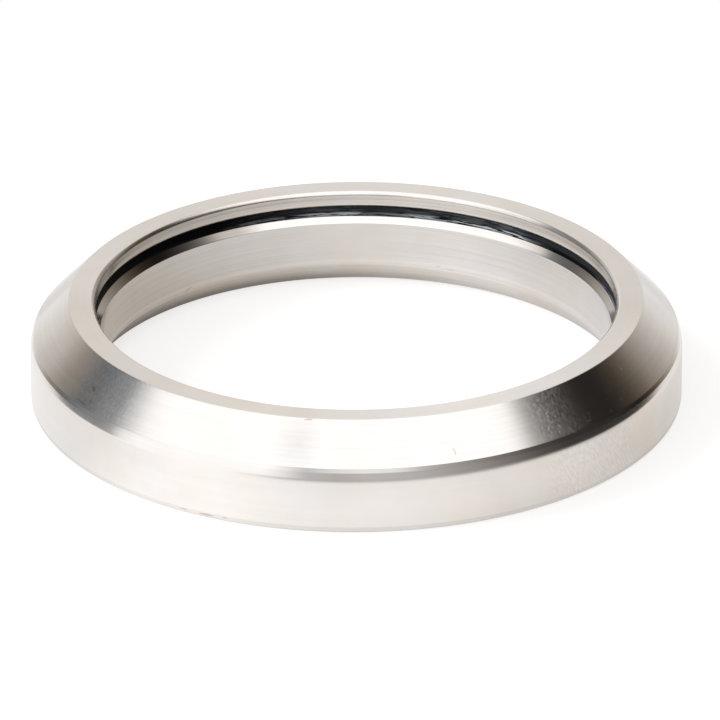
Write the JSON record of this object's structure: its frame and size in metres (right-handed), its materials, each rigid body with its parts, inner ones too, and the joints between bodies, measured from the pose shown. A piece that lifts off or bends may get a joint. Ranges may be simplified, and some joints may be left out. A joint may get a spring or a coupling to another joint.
{
  "type": "headset bearing",
  "caption": "Sealed angular contact cartridge bearing with a tapered outer seat above and a tapered inner seat below, for the lower end of a bicycle steerer.",
  "frame": {"origin": "on the bearing's axis, in the plane of the outer ring's lower face", "axes": "+Z along the axis, from the lower face to the upper face beside the outer seat cone"},
  "size_m": [0.051, 0.051, 0.008],
  "materials": {
    "outer_steel": "fine ground and lightly scuffed",
    "inner_steel": "fine ground",
    "ball_steel": "polished",
    "cage_plastic": "moulded",
    "seal_rubber": "matte with a trace of grease"
  },
  "bodies": {
    "outer": {"outer_ring": "outer_steel", "upper_seal": "seal_rubber", "lower_seal": "seal_rubber"},
    "inner": {"inner_ring": "inner_steel"},
    "cage": {"ball_cage": "cage_plastic"},
    "ball_01": {"ball_01": "ball_steel"},
    "ball_02": {"ball_02": "ball_steel"},
    "ball_03": {"ball_03": "ball_steel"},
    "ball_04": {"ball_04": "ball_steel"},
    "ball_05": {"ball_05": "ball_steel"},
    "ball_06": {"ball_06": "ball_steel"},
    "ball_07": {"ball_07": "ball_steel"},
    "ball_08": {"ball_08": "ball_steel"},
    "ball_09": {"ball_09": "ball_steel"},
    "ball_10": {"ball_10": "ball_steel"},
    "ball_11": {"ball_11": "ball_steel"},
    "ball_12": {"ball_12": "ball_steel"},
    "ball_13": {"ball_13": "ball_steel"},
    "ball_14": {"ball_14": "ball_steel"},
    "ball_15": {"ball_15": "ball_steel"},
    "ball_16": {"ball_16": "ball_steel"},
    "ball_17": {"ball_17": "ball_steel"},
    "ball_18": {"ball_18": "ball_steel"},
    "ball_19": {"ball_19": "ball_steel"},
    "ball_20": {"ball_20": "ball_steel"},
    "ball_21": {"ball_21": "ball_steel"},
    "ball_22": {"ball_22": "ball_steel"},
    "ball_23": {"ball_23": "ball_steel"},
    "ball_24": {"ball_24": "ball_steel"},
    "ball_25": {"ball_25": "ball_steel"},
    "ball_26": {"ball_26": "ball_steel"},
    "ball_27": {"ball_27": "ball_steel"},
    "ball_28": {"ball_28": "ball_steel"},
    "ball_29": {"ball_29": "ball_steel"},
    "ball_30": {"ball_30": "ball_steel"},
    "ball_31": {"ball_31": "ball_steel"},
    "ball_32": {"ball_32": "ball_steel"},
    "ball_33": {"ball_33": "ball_steel"},
    "ball_34": {"ball_34": "ball_steel"},
    "ball_35": {"ball_35": "ball_steel"},
    "ball_36": {"ball_36": "ball_steel"}
  },
  "joints": [
    {"name": "inner_spin", "type": "hinge", "parent": "outer", "child": "inner", "pos_m": [0, 0, 0.0035], "axis": [0, 0, 1], "continuous": true},
    {"name": "cage_spin", "type": "hinge", "parent": "outer", "child": "cage", "pos_m": [0, 0, 0.0035], "axis": [0, 0, 1], "continuous": true},
    {"name": "ball_01_roll", "type": "hinge", "parent": "cage", "child": "ball_01", "pos_m": [0.02275, 0, 0.0035], "axis": [-0.7071, 0, 0.7071], "continuous": true},
    {"name": "ball_02_roll", "type": "hinge", "parent": "cage", "child": "ball_02", "pos_m": [0.0224, 0.00395, 0.0035], "axis": [-0.6964, -0.1228, 0.7071], "continuous": true},
    {"name": "ball_03_roll", "type": "hinge", "parent": "cage", "child": "ball_03", "pos_m": [0.02138, 0.00778, 0.0035], "axis": [-0.6645, -0.2418, 0.7071], "continuous": true},
    {"name": "ball_04_roll", "type": "hinge", "parent": "cage", "child": "ball_04", "pos_m": [0.0197, 0.01137, 0.0035], "axis": [-0.6124, -0.3536, 0.7071], "continuous": true},
    {"name": "ball_05_roll", "type": "hinge", "parent": "cage", "child": "ball_05", "pos_m": [0.01743, 0.01462, 0.0035], "axis": [-0.5417, -0.4545, 0.7071], "continuous": true},
    {"name": "ball_06_roll", "type": "hinge", "parent": "cage", "child": "ball_06", "pos_m": [0.01462, 0.01743, 0.0035], "axis": [-0.4545, -0.5417, 0.7071], "continuous": true},
    {"name": "ball_07_roll", "type": "hinge", "parent": "cage", "child": "ball_07", "pos_m": [0.01137, 0.0197, 0.0035], "axis": [-0.3536, -0.6124, 0.7071], "continuous": true},
    {"name": "ball_08_roll", "type": "hinge", "parent": "cage", "child": "ball_08", "pos_m": [0.00778, 0.02138, 0.0035], "axis": [-0.2418, -0.6645, 0.7071], "continuous": true},
    {"name": "ball_09_roll", "type": "hinge", "parent": "cage", "child": "ball_09", "pos_m": [0.00395, 0.0224, 0.0035], "axis": [-0.1228, -0.6964, 0.7071], "continuous": true},
    {"name": "ball_10_roll", "type": "hinge", "parent": "cage", "child": "ball_10", "pos_m": [0, 0.02275, 0.0035], "axis": [0, -0.7071, 0.7071], "continuous": true},
    {"name": "ball_11_roll", "type": "hinge", "parent": "cage", "child": "ball_11", "pos_m": [-0.00395, 0.0224, 0.0035], "axis": [0.1228, -0.6964, 0.7071], "continuous": true},
    {"name": "ball_12_roll", "type": "hinge", "parent": "cage", "child": "ball_12", "pos_m": [-0.00778, 0.02138, 0.0035], "axis": [0.2418, -0.6645, 0.7071], "continuous": true},
    {"name": "ball_13_roll", "type": "hinge", "parent": "cage", "child": "ball_13", "pos_m": [-0.01137, 0.0197, 0.0035], "axis": [0.3536, -0.6124, 0.7071], "continuous": true},
    {"name": "ball_14_roll", "type": "hinge", "parent": "cage", "child": "ball_14", "pos_m": [-0.01462, 0.01743, 0.0035], "axis": [0.4545, -0.5417, 0.7071], "continuous": true},
    {"name": "ball_15_roll", "type": "hinge", "parent": "cage", "child": "ball_15", "pos_m": [-0.01743, 0.01462, 0.0035], "axis": [0.5417, -0.4545, 0.7071], "continuous": true},
    {"name": "ball_16_roll", "type": "hinge", "parent": "cage", "child": "ball_16", "pos_m": [-0.0197, 0.01137, 0.0035], "axis": [0.6124, -0.3536, 0.7071], "continuous": true},
    {"name": "ball_17_roll", "type": "hinge", "parent": "cage", "child": "ball_17", "pos_m": [-0.02138, 0.00778, 0.0035], "axis": [0.6645, -0.2418, 0.7071], "continuous": true},
    {"name": "ball_18_roll", "type": "hinge", "parent": "cage", "child": "ball_18", "pos_m": [-0.0224, 0.00395, 0.0035], "axis": [0.6964, -0.1228, 0.7071], "continuous": true},
    {"name": "ball_19_roll", "type": "hinge", "parent": "cage", "child": "ball_19", "pos_m": [-0.02275, 0, 0.0035], "axis": [0.7071, 0, 0.7071], "continuous": true},
    {"name": "ball_20_roll", "type": "hinge", "parent": "cage", "child": "ball_20", "pos_m": [-0.0224, -0.00395, 0.0035], "axis": [0.6964, 0.1228, 0.7071], "continuous": true},
    {"name": "ball_21_roll", "type": "hinge", "parent": "cage", "child": "ball_21", "pos_m": [-0.02138, -0.00778, 0.0035], "axis": [0.6645, 0.2418, 0.7071], "continuous": true},
    {"name": "ball_22_roll", "type": "hinge", "parent": "cage", "child": "ball_22", "pos_m": [-0.0197, -0.01137, 0.0035], "axis": [0.6124, 0.3536, 0.7071], "continuous": true},
    {"name": "ball_23_roll", "type": "hinge", "parent": "cage", "child": "ball_23", "pos_m": [-0.01743, -0.01462, 0.0035], "axis": [0.5417, 0.4545, 0.7071], "continuous": true},
    {"name": "ball_24_roll", "type": "hinge", "parent": "cage", "child": "ball_24", "pos_m": [-0.01462, -0.01743, 0.0035], "axis": [0.4545, 0.5417, 0.7071], "continuous": true},
    {"name": "ball_25_roll", "type": "hinge", "parent": "cage", "child": "ball_25", "pos_m": [-0.01137, -0.0197, 0.0035], "axis": [0.3536, 0.6124, 0.7071], "continuous": true},
    {"name": "ball_26_roll", "type": "hinge", "parent": "cage", "child": "ball_26", "pos_m": [-0.00778, -0.02138, 0.0035], "axis": [0.2418, 0.6645, 0.7071], "continuous": true},
    {"name": "ball_27_roll", "type": "hinge", "parent": "cage", "child": "ball_27", "pos_m": [-0.00395, -0.0224, 0.0035], "axis": [0.1228, 0.6964, 0.7071], "continuous": true},
    {"name": "ball_28_roll", "type": "hinge", "parent": "cage", "child": "ball_28", "pos_m": [0, -0.02275, 0.0035], "axis": [0, 0.7071, 0.7071], "continuous": true},
    {"name": "ball_29_roll", "type": "hinge", "parent": "cage", "child": "ball_29", "pos_m": [0.00395, -0.0224, 0.0035], "axis": [-0.1228, 0.6964, 0.7071], "continuous": true},
    {"name": "ball_30_roll", "type": "hinge", "parent": "cage", "child": "ball_30", "pos_m": [0.00778, -0.02138, 0.0035], "axis": [-0.2418, 0.6645, 0.7071], "continuous": true},
    {"name": "ball_31_roll", "type": "hinge", "parent": "cage", "child": "ball_31", "pos_m": [0.01137, -0.0197, 0.0035], "axis": [-0.3536, 0.6124, 0.7071], "continuous": true},
    {"name": "ball_32_roll", "type": "hinge", "parent": "cage", "child": "ball_32", "pos_m": [0.01462, -0.01743, 0.0035], "axis": [-0.4545, 0.5417, 0.7071], "continuous": true},
    {"name": "ball_33_roll", "type": "hinge", "parent": "cage", "child": "ball_33", "pos_m": [0.01743, -0.01462, 0.0035], "axis": [-0.5417, 0.4545, 0.7071], "continuous": true},
    {"name": "ball_34_roll", "type": "hinge", "parent": "cage", "child": "ball_34", "pos_m": [0.0197, -0.01137, 0.0035], "axis": [-0.6124, 0.3536, 0.7071], "continuous": true},
    {"name": "ball_35_roll", "type": "hinge", "parent": "cage", "child": "ball_35", "pos_m": [0.02138, -0.00778, 0.0035], "axis": [-0.6645, 0.2418, 0.7071], "continuous": true},
    {"name": "ball_36_roll", "type": "hinge", "parent": "cage", "child": "ball_36", "pos_m": [0.0224, -0.00395, 0.0035], "axis": [-0.6964, 0.1228, 0.7071], "continuous": true}
  ],
  "couplings": [
    {"joint": "cage_spin", "follows": "inner_spin", "ratio": 0.47533},
    {"joint": "ball_01_roll", "follows": "inner_spin", "ratio": -7.1479},
    {"joint": "ball_02_roll", "follows": "inner_spin", "ratio": -7.1479},
    {"joint": "ball_03_roll", "follows": "inner_spin", "ratio": -7.1479},
    {"joint": "ball_04_roll", "follows": "inner_spin", "ratio": -7.1479},
    {"joint": "ball_05_roll", "follows": "inner_spin", "ratio": -7.1479},
    {"joint": "ball_06_roll", "follows": "inner_spin", "ratio": -7.1479},
    {"joint": "ball_07_roll", "follows": "inner_spin", "ratio": -7.1479},
    {"joint": "ball_08_roll", "follows": "inner_spin", "ratio": -7.1479},
    {"joint": "ball_09_roll", "follows": "inner_spin", "ratio": -7.1479},
    {"joint": "ball_10_roll", "follows": "inner_spin", "ratio": -7.1479},
    {"joint": "ball_11_roll", "follows": "inner_spin", "ratio": -7.1479},
    {"joint": "ball_12_roll", "follows": "inner_spin", "ratio": -7.1479},
    {"joint": "ball_13_roll", "follows": "inner_spin", "ratio": -7.1479},
    {"joint": "ball_14_roll", "follows": "inner_spin", "ratio": -7.1479},
    {"joint": "ball_15_roll", "follows": "inner_spin", "ratio": -7.1479},
    {"joint": "ball_16_roll", "follows": "inner_spin", "ratio": -7.1479},
    {"joint": "ball_17_roll", "follows": "inner_spin", "ratio": -7.1479},
    {"joint": "ball_18_roll", "follows": "inner_spin", "ratio": -7.1479},
    {"joint": "ball_19_roll", "follows": "inner_spin", "ratio": -7.1479},
    {"joint": "ball_20_roll", "follows": "inner_spin", "ratio": -7.1479},
    {"joint": "ball_21_roll", "follows": "inner_spin", "ratio": -7.1479},
    {"joint": "ball_22_roll", "follows": "inner_spin", "ratio": -7.1479},
    {"joint": "ball_23_roll", "follows": "inner_spin", "ratio": -7.1479},
    {"joint": "ball_24_roll", "follows": "inner_spin", "ratio": -7.1479},
    {"joint": "ball_25_roll", "follows": "inner_spin", "ratio": -7.1479},
    {"joint": "ball_26_roll", "follows": "inner_spin", "ratio": -7.1479},
    {"joint": "ball_27_roll", "follows": "inner_spin", "ratio": -7.1479},
    {"joint": "ball_28_roll", "follows": "inner_spin", "ratio": -7.1479},
    {"joint": "ball_29_roll", "follows": "inner_spin", "ratio": -7.1479},
    {"joint": "ball_30_roll", "follows": "inner_spin", "ratio": -7.1479},
    {"joint": "ball_31_roll", "follows": "inner_spin", "ratio": -7.1479},
    {"joint": "ball_32_roll", "follows": "inner_spin", "ratio": -7.1479},
    {"joint": "ball_33_roll", "follows": "inner_spin", "ratio": -7.1479},
    {"joint": "ball_34_roll", "follows": "inner_spin", "ratio": -7.1479},
    {"joint": "ball_35_roll", "follows": "inner_spin", "ratio": -7.1479},
    {"joint": "ball_36_roll", "follows": "inner_spin", "ratio": -7.1479}
  ]
}
